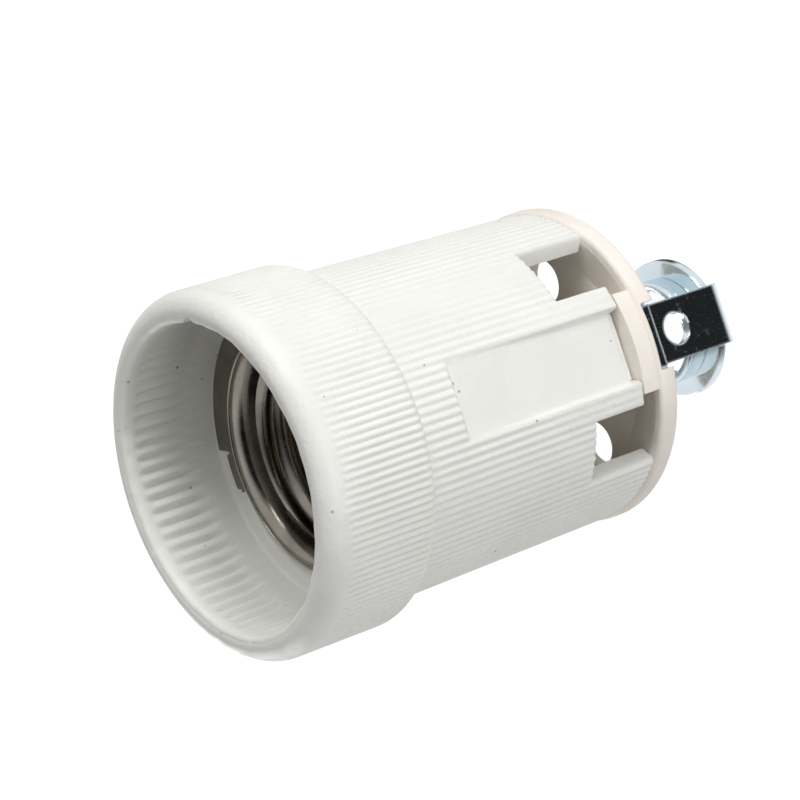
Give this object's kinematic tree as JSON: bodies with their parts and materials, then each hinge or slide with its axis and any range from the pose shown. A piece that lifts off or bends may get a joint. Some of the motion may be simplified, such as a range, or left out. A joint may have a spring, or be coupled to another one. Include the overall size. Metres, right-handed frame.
{
  "type": "lamp holder",
  "caption": "Porcelain screw lamp holder with ribbed body and skirt, plated screw shell, notched rear edge, ceramic base and a plated yoke with a threaded entry bush.",
  "frame": {"origin": "centre of the yoke's rear face, the lowest point of the part on the lamp axis", "axes": "+Z along the lamp axis out of the mouth, X across the yoke strip through the wire holes, Y through the yoke's legs"},
  "size_m": [0.046, 0.046, 0.0762],
  "materials": {
    "porcelain_body": "semi-matt off-white glaze",
    "porcelain_base": "matt cream",
    "yoke": "bright zinc plate",
    "entry_bush": "bright zinc plate",
    "screw_shell": "nickel plate",
    "steel_screws": "bright zinc plate",
    "brass_parts": "plain brass",
    "spring_steel": "drawn wire",
    "fibre": "red-brown fibre"
  },
  "bodies": {
    "holder": {"porcelain_body": "porcelain_body", "porcelain_base": "porcelain_base", "yoke": "yoke", "entry_bush": "entry_bush", "screw_shell": "screw_shell", "shell_screws": "steel_screws", "shell_washers": "steel_screws", "shell_nut": "steel_screws", "yoke_nuts": "steel_screws", "yoke_screws": "steel_screws", "shell_terminal": "brass_parts", "centre_terminal": "brass_parts", "fibre_washer": "fibre", "guide_bush": "brass_parts", "contact_spring": "spring_steel"},
    "plunger": {"centre_contact": "brass_parts"},
    "shell_clamp": {"shell_clamp_plate": "steel_screws"},
    "shell_clamp_turn": {"shell_clamp_screw": "steel_screws"},
    "centre_clamp": {"centre_clamp_plate": "steel_screws"},
    "centre_clamp_turn": {"centre_clamp_screw": "steel_screws"}
  },
  "joints": [
    {"name": "contact_press", "type": "slide", "parent": "holder", "child": "plunger", "axis": [0, 0, 1], "range_m": [-0.0012, 0], "stiffness_N_per_m": 2500, "springref_m": 0.0012, "deforming": ["contact_spring"]},
    {"name": "shell_clamp_slide", "type": "slide", "parent": "holder", "child": "shell_clamp", "axis": [0, 0, -1], "range_m": [0, 0.0014]},
    {"name": "shell_clamp_spin", "type": "hinge", "parent": "shell_clamp", "child": "shell_clamp_turn", "pos_m": [0.01, 0.0054, 0.0282], "axis": [0, 0, -1], "range_deg": [0, 725]},
    {"name": "centre_clamp_slide", "type": "slide", "parent": "holder", "child": "centre_clamp", "axis": [0, 0, -1], "range_m": [0, 0.0014]},
    {"name": "centre_clamp_spin", "type": "hinge", "parent": "centre_clamp", "child": "centre_clamp_turn", "pos_m": [-0.01, 0.0054, 0.0282], "axis": [0, 0, -1], "range_deg": [0, 725]}
  ],
  "couplings": [
    {"joint": "shell_clamp_spin", "follows": "shell_clamp_slide", "rad_per_m": 8976},
    {"joint": "centre_clamp_spin", "follows": "centre_clamp_slide", "rad_per_m": 8976}
  ]
}
